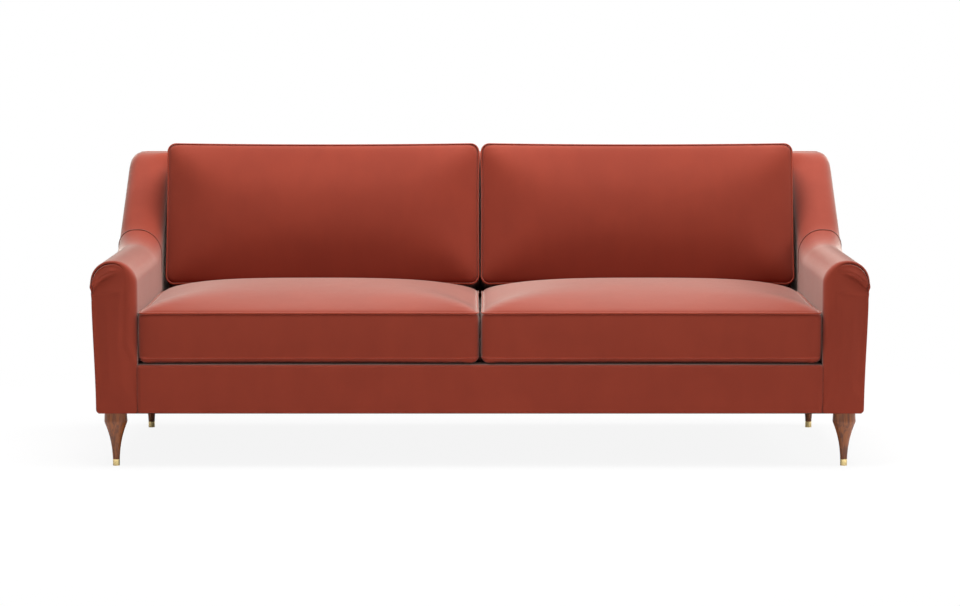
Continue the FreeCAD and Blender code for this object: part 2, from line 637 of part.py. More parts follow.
def cushion_nodes():
    """Both seat cushions and both back cushions, placed on the deck and against the raked back."""
    width = seat_half - CUSHION_GAP / 2
    seat_rear = back_face(deck_top) - FIT
    seat_z = deck_top + FIT + SEAT_UNDER_CROWN
    length = seat_rear - front
    form = cushion_form(width, length, SEAT_BOXING, (SEAT_CROWN, SEAT_CROWN_REACH),
                        (SEAT_UNDER_CROWN, SEAT_UNDER_REACH), SEAT_BULGE, rake)
    seat = cushion_parts(width, length, SEAT_BOXING, form, True)
    seat_place = FreeCAD.Placement(FreeCAD.Vector(CUSHION_GAP / 2, front, seat_z), FreeCAD.Rotation())
    # The back cushion stands square to the rake, on the seat cushion's sloping rear
    rise = seat_z + SEAT_BOXING - deck_top
    along = (seat_rear - back_face(deck_top)) * math.sin(rake) + rise * math.cos(rake) + FIT
    back_y = back_face(deck_top) + along * math.sin(rake) - (FIT + BACK_REAR_CROWN) * math.cos(rake)
    back_z = deck_top + along * math.cos(rake) + (FIT + BACK_REAR_CROWN) * math.sin(rake)
    back_width = width - BACK_SIDE_ROOM
    form = cushion_form(back_width, BACK_HEIGHT, BACK_BOXING, (BACK_CROWN, BACK_CROWN_REACH),
                        (BACK_REAR_CROWN, BACK_REAR_REACH), 0, 0)
    back = cushion_parts(back_width, BACK_HEIGHT, BACK_BOXING, form, False)
    back_place = FreeCAD.Placement(FreeCAD.Vector(CUSHION_GAP / 2, back_y, back_z),
                                   FreeCAD.Rotation(X_AXIS, 90 - BACK_RAKE))
    nodes = {}
    for kind, parts, place in (("seat", seat, seat_place), ("back", back, back_place)):
        for part, shape in parts.items():
            placed = shape.transformed(place.toMatrix())
            nodes.update(both_sides(kind + "_cushion_" + part, placed))
    return nodes


def main():
    os.makedirs("parts", exist_ok=True)
    nodes = {}
    for group in (seat_nodes(), back_nodes(), arm_nodes(), leg_nodes(), arm_bolt_node(), cushion_nodes()):
        nodes.update(group)
    for name, shape in sorted(nodes.items()):
        shape.exportStep("parts/" + name + ".step")
        print(name, len(shape.Solids), shape.isValid(), round(shape.Volume))


main()
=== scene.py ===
import json
import math

import bmesh
import bpy
from bpy.props import FloatProperty, FloatVectorProperty, PointerProperty
from mathutils import Matrix, Vector


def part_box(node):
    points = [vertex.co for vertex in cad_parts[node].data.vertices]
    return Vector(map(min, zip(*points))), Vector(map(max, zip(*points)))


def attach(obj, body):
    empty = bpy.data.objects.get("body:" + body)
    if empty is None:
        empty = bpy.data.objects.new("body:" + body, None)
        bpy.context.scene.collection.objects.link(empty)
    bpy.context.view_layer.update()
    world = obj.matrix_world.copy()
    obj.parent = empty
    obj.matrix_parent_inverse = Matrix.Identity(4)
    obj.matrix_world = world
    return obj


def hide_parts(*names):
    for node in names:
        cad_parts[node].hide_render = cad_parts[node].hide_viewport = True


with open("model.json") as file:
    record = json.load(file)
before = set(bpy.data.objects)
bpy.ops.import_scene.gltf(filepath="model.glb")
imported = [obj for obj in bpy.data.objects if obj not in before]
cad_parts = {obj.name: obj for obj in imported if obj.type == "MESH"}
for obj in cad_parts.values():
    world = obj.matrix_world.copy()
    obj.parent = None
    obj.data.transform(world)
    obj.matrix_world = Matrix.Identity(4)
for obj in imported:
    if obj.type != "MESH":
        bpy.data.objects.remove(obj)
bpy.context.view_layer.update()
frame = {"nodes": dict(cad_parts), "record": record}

bl_info = {
    "name": "Upholstered Sofa",
    "version": (1, 0, 0),
    "blender": (4, 5, 0),
    "location": "View3D > Sidebar > Sofa",
    "description": "Dresses the sofa frame with velvet upholstery, cushions, finishes and a plain studio",
    "category": "Object",
}

BODY = "sofa_frame"
ARM_LOW, ARM_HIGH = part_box("right_arm_cover")
BACK_LOW, BACK_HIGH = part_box("inside_back_cover")
BORDER_LOW, BORDER_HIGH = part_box("front_border_cover")
PANEL_LOW, PANEL_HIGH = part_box("outside_back_panel")
SEAT_LOW, SEAT_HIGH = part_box("right_seat_cushion_cover")
BACK_ZIP_LOW, BACK_ZIP_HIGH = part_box("right_back_cushion_zip_tape")
BACK_CUSHION_LOW, BACK_CUSHION_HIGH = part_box("right_back_cushion_cover")
BACK_CUSHION_WIDTH = BACK_CUSHION_HIGH.x - BACK_CUSHION_LOW.x

# Fixed measures of the dressed pieces, in metres, and the length of the cushions' simulation
CLOTH = 0.0015
INNER_HEM = 0.003
OUTER_HEM = 0.009
LEAST_RADIUS = 0.004
WING_END_RADIUS = 0.010
BORDER_TOP_ROUND = 0.009
BORDER_HEM_ROUND = 0.006
BORDER_BOW = 0.0018
WELT_ABOVE_UNDERSIDE = 0.020
WELT_INSET = 0.0035
BLOCK_INSET = 0.001
ZIP_MARGIN = 0.036
ZIP_GROOVE = 0.0066
HALF_STUD_PLATE = 0.0285
BACK_TUCK = 0.020
SWELL_FRAMES = 20

# Where things start, are full, fade and end, in shares round the arm's section: from its bottom
# middle up the inner side, over the roll and down the outer side
INNER_EDGE = (0.05, 0.08, 0.42, 0.50)
ROLL_CREASE = (0.43, 0.49, 0.60, 0.64)
ROLL_WELT = (0.45, 0.51, 0.59, 0.63)
WING_SEAM_START = 0.36
WING_SEAM_REACH = 0.28
WING_SEAM_DEPTH = 0.118

# Welt and groove round the arm's front, from the panel outwards: distance in from the rim and
# distance to the rear
ARM_EDGE = ((0.0095, 0.0), (0.0070, -0.0016), (0.0050, -0.0004), (0.0038, 0.0062), (0.0022, 0.0030))

# Gathered pleats on the arm's front, upper and lower: height of the outer end, rise towards the
# inner end, reach across, height of the roll and the distance in which it fades upwards
PLEATS_ABOVE = 0.46
PLEATS = (
    (0.503, 0.049, 0.088, 0.0150, 0.017),
    (0.484, 0.010, 0.105, 0.0060, 0.011),
)

# Cushion forms as pairs of distance in from the seam and distance from it upwards or downwards, and
# the depths at which the seat's top edge starts to rise, is highest and starts to fall
SEAT_CROWN = ((0.009, 0.005), (0.018, 0.011), (0.030, 0.018), (0.052, 0.026), (0.085, 0.034),
              (0.130, 0.041), (0.190, 0.047), (0.260, 0.051), (0.330, 0.053))
SEAT_RISE = (0.15, 0.50, 0.58)
SEAT_UNDERSIDE = ((0.0005, 0.010), (0.003, 0.017), (0.010, 0.0198), (0.030, 0.0199), (0.110, 0.0199))
BACK_CUSHION_CROWN = ((0.010, 0.006), (0.022, 0.012), (0.045, 0.020), (0.080, 0.028), (0.125, 0.034),
                      (0.180, 0.037))
BACK_CUSHION_REAR = ((0.012, 0.005), (0.040, 0.010), (0.090, 0.014))


def length(name, description, default):
    return FloatProperty(
        name=name, description=description, default=default, unit="LENGTH", subtype="DISTANCE")


def angle(name, description, degrees):
    return FloatProperty(name=name, description=description, default=math.radians(degrees), subtype="ANGLE")


def share(name, description, default):
    return FloatProperty(name=name, description=description, default=default, subtype="FACTOR")


def colour(name, description, default):
    return FloatVectorProperty(
        name=name, description=description, default=default, size=3, subtype="COLOR")


class ArmShape(bpy.types.PropertyGroup):
    front_height: length("Front height", "Top of the arm at its front", 0.585)
    climb: length("Climb", "Rise of the arm's top towards the swoop", 0.015)
    swoop_angle: angle("Swoop angle", "Slope of the wing's edge", 41.5)
    swoop_radius: length("Swoop radius", "Radius of the hollow swoop", 0.24)
    wing_radius: length("Wing radius", "Radius of the wing's top corner", 0.09)
    wing_top: length("Wing top", "Length of the wing's level top", 0.087)
    outer_radius: length("Outer roll", "Radius of the roll's outer side", 0.058)
    inner_radius: length("Inner roll", "Radius of the roll's inner side", 0.066)
    wing_outer_radius: length("Wing outer roll", "Outer radius along the wing", 0.035)
    wing_inner_radius: length("Wing inner roll", "Inner radius along the wing", 0.075)
    taper: length("Taper", "How far the outer side draws in towards the bottom", 0.010)
    front_round: length("Front edge", "Rounding of the front panel's welted edge", 0.0045)
    inner_round: length("Inner front edge", "Rounding of the front's inner upright edge", 0.030)
    crease: length("Crease", "Depth of the seam behind the front's edge", 0.0034)
    panel_crown: length("Panel crown", "Swell of the padded front panel", 0.004)


class BackShape(bpy.types.PropertyGroup):
    rake: angle("Rake", "Lean of the inside back", 12)
    top_radius: length("Top radius", "Rolled top of the back", 0.035)
    panel_swell: length("Panel swell", "Swell of the outside back", 0.003)


class CushionShape(bpy.types.PropertyGroup):
    corner: length("Corner radius", "Radius of the corners seen from above", 0.022)
    drawn_in: share("Drawn in", "Slope of the sides towards their middles", 0.008)
    seat_boxing: length("Seat boxing", "Height of the seat cushion's boxed band", 0.125)
    seat_lift: length("Seat lift", "Rise of the seat's top edge towards the back", 0.012)
    back_boxing: length("Back boxing", "Depth of the back cushion's boxed band", 0.165)
    back_height: length("Back height", "Height of the back cushion along the rake", 0.437)
    zip_depth: length("Zip depth", "Depth of the zip tape in the band", 0.0064)
    welt: length("Welt radius", "Radius of the welt cord", 0.0024)
    voxel: length("Remesh size", "Size of the cloth mesh's faces", 0.010)
    pressure: FloatProperty(name="Pressure", description="Fill pressure of the cloth simulation", default=4.0)
    cap: length("Movement cap", "Most that a point may move while the cover swells", 0.022)


class VelvetLook(bpy.types.PropertyGroup):
    pile: colour("Pile", "Colour of the velvet pile", (0.225, 0.0290, 0.0125))
    deep: colour("Deep pile", "Colour where the pile lies away", (0.205, 0.0255, 0.0110))
    # Painted light: the sheen is set by facing, full on upward faces and weaker on upright ones, so that tops
    # read lighter as under light from above; the lie of the pile is not modelled.
    sheen: share("Sheen on top", "Light off the fibre tips where the pile stands up", 1.0)
    sheen_side: share("Sheen on sides", "Light off the fibre tips where the pile hangs down", 0.30)
    sheen_tint: colour("Sheen tint", "Colour of the light off the fibre tips", (1.0, 0.93, 0.84))
    sheen_roughness: share("Sheen roughness", "Spread of the sheen", 0.38)


class StudioLook(bpy.types.PropertyGroup):
    camera_distance: length("Camera distance", "Distance of the camera in front of the sofa's middle", 7.77)
    camera_height: length("Camera height", "Height of the camera above the floor", 1.1147)
    camera_pitch: angle("Camera pitch", "Angle that the camera looks down", 5.07)
    focal_length: FloatProperty(
        name="Focal length", description="Lens length in mm", default=97.95, unit="CAMERA")
    ambient: FloatProperty(
        name="Ambient", description="Strength of the studio's even light", default=0.19)
    key: FloatProperty(
        name="Key", description="Power of the large overhead light", default=235.0, unit="POWER")
    side: FloatProperty(
        name="Side", description="Power of the light from the right", default=70.0, unit="POWER")


# Shader maths


class Sock:
    """A node socket that takes part in arithmetic by adding Math nodes."""

    def __init__(self, tree, link):
        self.tree = tree
        self.link = link

    def maths(self, operation, other=None, swap=False):
        node = self.tree.nodes.new("ShaderNodeMath")
        node.operation = operation
        terms = [self, other] if not swap else [other, self]
        for slot, term in zip(node.inputs, terms):
            if isinstance(term, Sock):
                self.tree.links.new(term.link, slot)
            elif term is not None:
                slot.default_value = term
        return Sock(self.tree, node.outputs[0])

    def __add__(self, other):
        return self.maths("ADD", other)

    __radd__ = __add__

    def __sub__(self, other):
        return self.maths("SUBTRACT", other)

    def __rsub__(self, other):
        return self.maths("SUBTRACT", other, swap=True)

    def __mul__(self, other):
        return self.maths("MULTIPLY", other)

    __rmul__ = __mul__

    def at_least(self, other):
        return self.maths("MAXIMUM", other)


class Nodes:
    """A node tree that is built up node by node."""

    def __init__(self, tree):
        self.tree = tree

    def node(self, kind, settings=None, values=None, output=0):
        """Adds a node, sets its properties and input values or links, and returns one output."""
        made = self.tree.nodes.new(kind)
        for key, value in (settings or {}).items():
            setattr(made, key, value)
        self.fill(made, values or {})
        return Sock(self.tree, made.outputs[output]) if made.outputs else None

    def fill(self, node, values):
        """Sets or links the inputs of a node."""
        for key, value in values.items():
            if isinstance(value, Sock):
                self.tree.links.new(value.link, node.inputs[key])
            else:
                node.inputs[key].default_value = value


class Finish(Nodes):
    """A material of one Principled shader, or of a mix of two shaders."""

    def __init__(self, name):
        self.material = bpy.data.materials.new(name)
        self.material.use_nodes = True
        super().__init__(self.material.node_tree)
        self.shader = self.tree.nodes["Principled BSDF"]
        self.where = self.node("ShaderNodeTexCoord", output="Object")

    def stretched(self, x, y, z):
        return self.node("ShaderNodeMapping", values={"Vector": self.where, "Scale": (x, y, z)})

    def noise(self, scale, detail=3.0, where=None, distortion=0.0):
        return self.node("ShaderNodeTexNoise", values={
            "Vector": where or self.where, "Scale": scale, "Detail": detail, "Distortion": distortion})

    def ramp(self, value, low, high):
        """Value mapped so that low gives 0 and high gives 1, held between them."""
        return self.node("ShaderNodeMapRange", values={"Value": value, "From Min": low, "From Max": high})

    def blend(self, factor, first, second):
        """Mixes two colours, each a link or a red, green and blue."""
        first, second = (c if isinstance(c, Sock) else (*c, 1.0) for c in (first, second))
        return self.node("ShaderNodeMix", {"data_type": "RGBA"}, {0: factor, 6: first, 7: second}, 2)

    def bump(self, height, distance, strength=1.0, normal=None):
        values = {"Height": height, "Distance": distance, "Strength": strength}
        if normal:
            values["Normal"] = normal
        return self.node("ShaderNodeBump", values=values)

    def set(self, values):
        """Sets or links the Principled shader's sockets."""
        self.fill(self.shader, values)
        return self.material

    def mixed_with(self, factor, second):
        """Shows a second shader where the factor is 1."""
        first = Sock(self.tree, self.shader.outputs[0])
        mix = self.node("ShaderNodeMixShader", values={0: factor, 1: first, 2: second})
        self.tree.links.new(mix.link, self.tree.nodes["Material Output"].inputs[0])
        return self.material


def scaled(colour, factor):
    return tuple(min(part * factor, 1.0) for part in colour)


def velvet(look, name, painted_light_factor=1.0):
    """Short cotton velvet: fine pile, soft nap marks and a pale sheen, stronger on upward faces."""
    finish = Finish(name)
    nap = finish.noise(5.5, detail=2.0, distortion=0.6)
    streaks = finish.noise(24.0, detail=3.0, where=finish.stretched(1.0, 1.0, 0.35))
    pile = finish.noise(1400.0, detail=1.0)
    lie = finish.ramp(nap * 0.65 + streaks * 0.35, 0.38, 0.62)
    # The last argument scales the whole colour: above 1 it paints a highlight, below 1 it paints shade.
    base = finish.blend(lie, scaled(look.deep, painted_light_factor), scaled(look.pile, painted_light_factor))
    base = finish.blend(finish.ramp(pile, 0.3, 0.7) * 0.22, base, scaled(look.pile, painted_light_factor * 1.5))
    height = pile * 0.6 + finish.noise(420.0, detail=2.0) * 0.4
    rumple = finish.bump(finish.noise(9.0, detail=2.0), 0.0022, 0.5)
    surface = {
        "Base Color": base,
        "Roughness": 0.80 + 0.14 * pile,
        "Normal": finish.bump(height, 0.0004, 0.5, rumple),
        "Specular IOR Level": 0.25,
        "Sheen Roughness": look.sheen_roughness,
        "Sheen Tint": (*look.sheen_tint, 1.0),
    }
    # Painted light: two shaders mixed by facing give upward faces the full sheen and upright faces less, so
    # tops read lighter as under light from above; the sheen itself is lit by the lamps.
    finish.set(surface | {"Sheen Weight": look.sheen_side})
    top = finish.node("ShaderNodeBsdfPrincipled", values=surface | {"Sheen Weight": look.sheen})
    normal = finish.node("ShaderNodeTexCoord", output="Normal")
    upward = finish.node("ShaderNodeSeparateXYZ", values={0: normal}, output="Z")
    return finish.mixed_with(finish.ramp(upward, 0.10, 0.80), top)


def walnut():
    """Oiled walnut, its grain running up the leg."""
    finish = Finish("walnut")
    drift = finish.noise(16.0, detail=2.0, where=finish.stretched(1.0, 1.0, 0.25))
    grain = finish.noise(130.0, detail=5.0, where=finish.stretched(1.0, 1.0, 0.055), distortion=0.8)
    pores = finish.ramp(finish.noise(620.0, detail=2.0, where=finish.stretched(1.0, 1.0, 0.03)), 0.60, 0.72)
    light = finish.blend(drift, (0.260, 0.064, 0.009), (0.325, 0.090, 0.013))
    base = finish.blend(finish.ramp(grain, 0.42, 0.66), light, (0.120, 0.030, 0.008))
    base = finish.blend(pores * 0.6, base, (0.050, 0.016, 0.007))
    return finish.set({
        "Base Color": base,
        "Roughness": 0.34 + 0.18 * grain,
        "Normal": finish.bump(pores, 0.0002, 0.35),
        "Coat Weight": 0.12,
        "Coat Roughness": 0.25,
    })


def metal(name, colour, roughness, marks):
    """Metal with fine turned marks round the vertical axis and a little handling wear."""
    finish = Finish(name)
    rings = finish.noise(900.0, detail=2.0, where=finish.stretched(0.05, 0.05, 1.0))
    smudge = finish.noise(60.0, detail=3.0)
    base = finish.blend(finish.ramp(smudge, 0.45, 0.75) * 0.25, colour, scaled(colour, 0.8))
    return finish.set({
        "Base Color": base,
        "Metallic": 1.0,
        "Roughness": roughness + 0.10 * smudge,
        "Normal": finish.bump(rings, 0.0001, marks),
    })


def timber(name, light, dark, run, rings=60.0):
    """Sawn frame timber or plywood, its grain running along one axis."""
    finish = Finish(name)
    scale = [1.0, 1.0, 1.0]
    scale[run] = 0.06
    grain = finish.noise(rings, detail=4.0, where=finish.stretched(*scale), distortion=1.2)
    saw = finish.noise(260.0, detail=2.0)
    base = finish.blend(finish.ramp(grain, 0.35, 0.68), light, dark)
    return finish.set({
        "Base Color": base,
        "Roughness": 0.62 + 0.20 * saw,
        "Normal": finish.bump(grain * 0.5 + saw * 0.5, 0.0006, 0.4),
        "Specular IOR Level": 0.35,
    })


def woven(name, colour, dark, count):
    """Plain woven cloth: threads over and under each other, a set number to the metre."""
    finish = Finish(name)
    x, y, z = (finish.node("ShaderNodeSeparateXYZ", values={0: finish.where}, output=axis) for axis in "XYZ")
    turn = math.pi * count
    over = ((x + z) * turn).maths("SINE")
    under = ((y + z * 0.5) * turn).maths("SINE")
    thread = over * under * 0.5 + 0.5
    fuzz = finish.noise(700.0, detail=2.0)
    base = finish.blend(thread * 0.7 + fuzz * 0.3, dark, colour)
    return finish.set({
        "Base Color": base,
        "Roughness": 0.85 + 0.1 * fuzz,
        "Normal": finish.bump(thread * 0.8 + fuzz * 0.2, 0.0005, 0.6),
        "Sheen Weight": 0.15,
    })


def foam(colour):
    """Open-cell upholstery foam: small pits all over."""
    finish = Finish("foam")
    cells = finish.node("ShaderNodeTexVoronoi", values={"Vector": finish.where, "Scale": 420.0})
    tone = finish.noise(14.0, detail=3.0)
    base = finish.blend(finish.ramp(cells, 0.1, 0.6), scaled(colour, 0.78), colour)
    return finish.set({
        "Base Color": finish.blend(tone * 0.2, base, scaled(colour, 0.85)),
        "Roughness": 0.85 + 0.1 * tone,
        "Normal": finish.bump(cells, 0.0008, 0.6),
    })


# Mesh tools


def add_piece(name, bm, material, body=BODY):
    """Turns a finished bmesh into an object at the origin, smooth shaded, and puts it on its body."""
    bmesh.ops.remove_doubles(bm, verts=bm.verts, dist=1e-5)
    bmesh.ops.recalc_face_normals(bm, faces=bm.faces)
    mesh = bpy.data.meshes.new(name)
    bm.to_mesh(mesh)
    bm.free()
    for face in mesh.polygons:
        face.use_smooth = True
    piece = bpy.data.objects.new(name, mesh)
    bpy.context.scene.collection.objects.link(piece)
    mesh.materials.append(material)
    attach(piece, body)
    return piece


def subdivided(piece):
    """Rounds a skin with one level of Subdivision Surface."""
    modifier = piece.modifiers.new("Subdivision", "SUBSURF")
    modifier.levels = modifier.render_levels = 1


def thickened(piece):
    """Gives an open skin the thickness of its cloth, inwards."""
    modifier = piece.modifiers.new("Cloth thickness", "SOLIDIFY")
    modifier.thickness = CLOTH
    modifier.offset = -1.0


def mirrored_mesh(bm):
    """A copy of a bmesh reflected in the sofa's middle plane."""
    other = bm.copy()
    bmesh.ops.scale(other, vec=(-1.0, 1.0, 1.0), verts=other.verts)
    bmesh.ops.reverse_faces(other, faces=other.faces)
    return other


def sheet_of(across, along, place):
    """Grid bent into a surface: place takes shares from 0 to 1 across and along and gives a point."""
    bm = bmesh.new()
    bmesh.ops.create_grid(bm, x_segments=across, y_segments=along, size=0.5)
    for vert in bm.verts:
        vert.co = place(vert.co.x + 0.5, vert.co.y + 0.5)
    return bm


def loft(rings):
    """Closed rings joined in order, each a list of as many points, with both ends filled."""
    count = len(rings[0])
    last = len(rings) - 1
    bm = sheet_of(count, last, lambda u, v: rings[round(v * last)][round(u * count) % count].copy())
    bmesh.ops.remove_doubles(bm, verts=bm.verts, dist=1e-6)
    bmesh.ops.holes_fill(bm, edges=[edge for edge in bm.edges if edge.is_boundary], sides=0)
    return bm


def shrunk(points, centre, scale, factor, lift):
    """Points moved a share of the way to a copy of their outline shrunk about a centre in x and z."""
    result = []
    for point in points:
        goal = Vector((centre[0] + (point.x - centre[0]) * scale[0], point.y,
                       centre[1] + (point.z - centre[1]) * scale[1]))
        moved = point.lerp(goal, factor)
        moved.y += lift
        result.append(moved)
    return result


def tube(bm, path, radii, closed=False, sides=8):
    """Round cord along a path, with one radius or one for each point."""
    count = len(path)
    if not isinstance(radii, (list, tuple)):
        radii = [radii] * count

    def heading(i):
        before = path[i - 1] if (closed or i > 0) else path[i]
        after = path[(i + 1) % count] if (closed or i < count - 1) else path[i]
        return (after - before).normalized()

    turn = heading(0).to_track_quat("Z", "Y")
    start = Matrix.LocRotScale(path[0], turn, Vector((1, 1, 1)))
    ring = bmesh.ops.create_circle(
        bm, segments=sides, radius=radii[0], matrix=start, cap_ends=not closed)["verts"]
    first = [edge for edge in {e for v in ring for e in v.link_edges} if all(v in ring for v in edge.verts)]
    edges = [edge for edge in first if len(edge.link_faces) < 2]
    for i in range(1, count):
        step = heading(i - 1).rotation_difference(heading(i)).to_matrix().to_4x4()
        grow = Matrix.Scale(radii[i] / radii[i - 1], 4)
        made = bmesh.ops.extrude_edge_only(bm, edges=edges)["geom"]
        verts = [g for g in made if isinstance(g, bmesh.types.BMVert)]
        edges = [g for g in made if isinstance(g, bmesh.types.BMEdge)]
        move = Matrix.Translation(path[i]) @ step @ grow @ Matrix.Translation(-path[i - 1])
        bmesh.ops.transform(bm, matrix=move, verts=verts)
    if closed:
        bmesh.ops.bridge_loops(bm, edges=first + edges)
    else:
        bmesh.ops.edgeloop_fill(bm, edges=edges)
    return bm


def arc(centre, start, end, steps):
    """Evenly spread points of a bend, as pairs; its centre is given with the radius as the third number."""
    a, b, radius = centre
    points = []
    for i in range(steps + 1):
        turn = start + (end - start) * i / steps
        points.append((a + radius * math.cos(turn), b + radius * math.sin(turn)))
    return points


def spaced(points, count):
    """Evenly spaced points along a polyline."""
    lengths = [0.0]
    for a, b in zip(points, points[1:]):
        lengths.append(lengths[-1] + (b - a).length)
    result = []
    leg = 0
    for i in range(count):
        goal = lengths[-1] * i / (count - 1)
        while leg < len(points) - 2 and lengths[leg + 1] < goal:
            leg += 1
        span = lengths[leg + 1] - lengths[leg]
        result.append(points[leg].lerp(points[leg + 1], (goal - lengths[leg]) / span if span else 0.0))
    return result


def smooth_share(value, start, end):
    """0 before the start and 1 after the end, with an S curve between them."""
    along = min(max((value - start) / (end - start), 0.0), 1.0)
    return along * along * (3.0 - 2.0 * along)


def window(value, start, full, fading, end):
    """1 from full to fading and 0 outside start and end, with an S curve on both sides."""
    return smooth_share(value, start, full) * (1.0 - smooth_share(value, fading, end))


# Arms


class ArmForm:
    """The right arm's skin, given by its crest line and its rolled section."""

    def __init__(self, shape):
        self.shape = shape
        self.front = ARM_LOW.y
        self.rear = ARM_HIGH.y
        self.bottom = ARM_LOW.z
        self.top = ARM_HIGH.z
        self.inner = ARM_LOW.x
        self.outer = ARM_HIGH.x
        self.deck = BORDER_HIGH.z
        slope = math.tan(shape.swoop_angle)
        self.head = PANEL_HIGH.y - shape.wing_top
        self.foot_z = shape.front_height + shape.climb
        self.foot = self.head - (self.top - self.foot_z) / slope
        self.pitch = math.atan2(shape.climb, self.foot - self.front)
        reach = shape.swoop_radius * math.tan((shape.swoop_angle - self.pitch) / 2)
        self.foot_start = self.foot - reach * math.cos(self.pitch)
        self.foot_end = self.foot + reach * math.cos(shape.swoop_angle)
        reach = shape.wing_radius * math.tan(shape.swoop_angle / 2)
        self.head_start = self.head - reach * math.cos(shape.swoop_angle)
        self.head_end = self.head + reach

    def crest(self, y):
        shape = self.shape
        if y < self.foot_start:
            return shape.front_height + (y - self.front) * math.tan(self.pitch)
        if y < self.foot_end:
            centre_y = self.foot_start - shape.swoop_radius * math.sin(self.pitch)
            centre_z = (shape.front_height + (self.foot_start - self.front) * math.tan(self.pitch)
                        + shape.swoop_radius * math.cos(self.pitch))
            return centre_z - math.sqrt(shape.swoop_radius ** 2 - (y - centre_y) ** 2)
        if y < self.head_start:
            return self.foot_z + (y - self.foot) * math.tan(shape.swoop_angle)
        if y < self.head_end:
            return self.top - shape.wing_radius + math.sqrt(shape.wing_radius ** 2 - (y - self.head_end) ** 2)
        return self.top

    def section(self, y, inset_outer=0.0, inset_inner=0.0, count=96):
        """Points round the arm at a depth, from its bottom middle up the inner side and over the roll."""
        shape = self.shape
        along = smooth_share(y, self.foot_start - 0.03, self.foot_end + 0.03)
        outer_radius = shape.outer_radius + (shape.wing_outer_radius - shape.outer_radius) * along
        inner_radius = shape.inner_radius + (shape.wing_inner_radius - shape.inner_radius) * along
        inner_radius += (WING_END_RADIUS - inner_radius) * smooth_share(y, self.head_start, self.head_end)
        top = self.crest(y) - inset_outer
        left = self.inner + inset_inner
        right = self.outer - inset_outer
        inner_radius = max(inner_radius - inset_inner, LEAST_RADIUS)
        outer_radius = max(outer_radius - inset_outer, LEAST_RADIUS)
        middle = (left + right) / 2
        points = [(middle, self.bottom)]
        points += arc((left + INNER_HEM, self.bottom + INNER_HEM, INNER_HEM), -math.pi / 2, -math.pi, 4)
        points += arc((left + inner_radius, top - inner_radius, inner_radius), math.pi, math.pi / 2, 20)
        points += arc((right - outer_radius, top - outer_radius, outer_radius), math.pi / 2, 0.0, 20)
        points += arc((right - OUTER_HEM, self.bottom + OUTER_HEM, OUTER_HEM), 0.0, -math.pi / 2, 6)
        points.append((middle, self.bottom))
        line = spaced([Vector((x, y, z)) for x, z in points], count)
        waist = shape.front_height - shape.outer_radius
        for point in line:
            drop = smooth_share(waist - point.z, 0.0, waist - self.bottom)
            across = (point.x - self.inner) / (self.outer - self.inner)
            point.x -= shape.taper * drop * max(0.0, across) ** 2
        return line

    def above_deck(self, z):
        """0 beside the seat frame to 1 where the arm's inner front edge is fully rounded."""
        return smooth_share(z, self.deck - 0.012, self.deck + 0.075)

    def ring(self, y, draw, crease, count):
        """Closed ring at a depth, drawn in round the front's edges and creased along the roll's seam."""
        shape = self.shape
        points = []
        soft = self.section(y, shape.front_round * draw, shape.inner_round * draw, count + 1)
        firm = self.section(y, shape.front_round * draw, 0.002 * draw, count + 1)
        sunk = self.section(y, shape.front_round * draw + shape.crease, shape.inner_round * draw, count + 1)
        for i in range(count):
            seamed = crease * window(i / count, *ROLL_CREASE)
            points.append(firm[i].lerp(soft[i], self.above_deck(soft[i].z)).lerp(sunk[i], seamed))
        return points

    def rings(self, count):
        """Rings from the front's rim, over its rounded edge and the crease behind it, to the rear."""
        shape = self.shape
        result = []
        for step in range(7):
            turn = math.pi / 2 * step / 6
            forward = 1.0 - math.cos(turn)
            ring = self.ring(self.front + shape.inner_round * forward, 1.0 - math.sin(turn), 0.0, count)
            for i, point in enumerate(ring):
                inner_side = window(i / count, *INNER_EDGE) * self.above_deck(point.z)
                reach = shape.front_round + (shape.inner_round - shape.front_round) * inner_side
                point.y = self.front + reach * forward
            result.append(ring)
        for step, crease in ((0.0015, 0.7), (0.0030, 1.0), (0.0045, 0.7), (0.0065, 0.0)):
            ring = self.ring(self.front + shape.inner_round, 0.0, crease, count)
            for point, before in zip(ring, result[6]):
                point.y = before.y + step
            result.append(ring)
        steps = 64
        first = self.front + shape.inner_round + 0.012
        for k in range(steps + 1):
            y = first + (self.rear - first) * k / steps
            result.append(self.ring(y, 0.0, 0.0, count))
        return result


def fold(x, z, form):
    """Height of the two gathered pleats on the arm's front at a point."""
    total = 0.0
    for level, rise, reach, height, fall in PLEATS:
        across = (form.outer - x) / reach
        line = level + rise * (1.0 - (1.0 - min(max(across, 0.0), 1.0)) ** 2.6)
        over = z - line
        strength = height * (1.0 - smooth_share(across, 0.55, 1.05))
        if over > -0.001:
            total += strength * smooth_share(over, -0.001, 0.0065) * math.exp(-over / fall)
        else:
            total -= 0.30 * strength * smooth_share(-over, 0.001, 0.005) * math.exp((over + 0.001) / 0.008)
    return total


